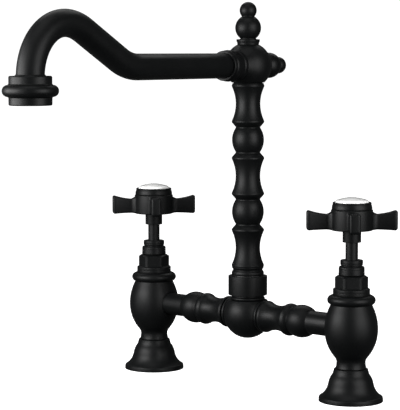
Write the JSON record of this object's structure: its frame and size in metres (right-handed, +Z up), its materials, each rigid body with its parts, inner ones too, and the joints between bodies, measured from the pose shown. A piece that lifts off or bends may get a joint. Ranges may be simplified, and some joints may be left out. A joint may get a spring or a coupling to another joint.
{
  "type": "bridge kitchen faucet",
  "caption": "Deck-mounted bridge kitchen faucet: urn-shaped valve columns with cross handles, a turned bridge, a turned riser and a high swinging spout.",
  "frame": {"origin": "on the counter, midway between the two column axes", "axes": "+X from the hot column to the cold column, +Z up, -Y towards the user; the spout points 7 degrees from -Y towards +X at rest"},
  "size_m": [0.2579, 0.3216, 0.2977],
  "materials": {
    "black_coat": "satin black powder coat on turned brass",
    "porcelain": "glossy white glazed porcelain",
    "brass": "bare machined brass, hidden inside",
    "rubber": "smooth black rubber",
    "disc_ceramic": "lapped alumina",
    "cage_nylon": "moulded nylon",
    "bush_plastic": "black acetal",
    "steel": "stainless steel",
    "aerator_plastic": "moulded grey plastic"
  },
  "bodies": {
    "base": {"hot_foot_flange": "black_coat", "hot_deck_gasket": "rubber", "hot_column": "black_coat", "hot_bonnet": "black_coat", "hot_gland_nut": "black_coat", "hot_stem_seal": "rubber", "hot_seat_seal": "rubber", "hot_cartridge_cage": "cage_nylon", "hot_fixed_disc": "disc_ceramic", "hot_bridge_arm": "black_coat", "hot_arm_seal": "rubber", "cold_foot_flange": "black_coat", "cold_deck_gasket": "rubber", "cold_column": "black_coat", "cold_bonnet": "black_coat", "cold_gland_nut": "black_coat", "cold_stem_seal": "rubber", "cold_seat_seal": "rubber", "cold_cartridge_cage": "cage_nylon", "cold_fixed_disc": "disc_ceramic", "cold_bridge_arm": "black_coat", "cold_arm_seal": "rubber", "centre_tee": "black_coat", "swivel_collar": "black_coat", "retaining_screw": "steel", "swivel_bush": "bush_plastic"},
    "spout": {"riser": "black_coat", "swivel_spigot": "brass", "spigot_seals": "rubber", "head_ball": "black_coat", "top_finial": "black_coat", "back_finial": "black_coat", "spout_nut": "black_coat", "spout_tube": "black_coat", "outlet_collar": "black_coat", "aerator_washer": "rubber", "aerator_body": "aerator_plastic", "aerator_screen": "aerator_plastic"},
    "hot_valve": {"hot_stem": "black_coat", "hot_moving_disc": "disc_ceramic", "hot_handle": "black_coat", "hot_handle_screw": "steel", "hot_bezel": "black_coat", "hot_cap": "porcelain"},
    "cold_valve": {"cold_stem": "black_coat", "cold_moving_disc": "disc_ceramic", "cold_handle": "black_coat", "cold_handle_screw": "steel", "cold_bezel": "black_coat", "cold_cap": "porcelain"}
  },
  "joints": [
    {"name": "spout_swivel", "type": "hinge", "parent": "base", "child": "spout", "pos_m": [0, 0, 0], "axis": [0, 0, 1], "continuous": true},
    {"name": "hot_handle_turn", "type": "hinge", "parent": "base", "child": "hot_valve", "pos_m": [-0.1016, 0, 0], "axis": [0, 0, 1], "range_deg": [0, 90]},
    {"name": "cold_handle_turn", "type": "hinge", "parent": "base", "child": "cold_valve", "pos_m": [0.1016, 0, 0], "axis": [0, 0, 1], "range_deg": [-90, 0]}
  ]
}
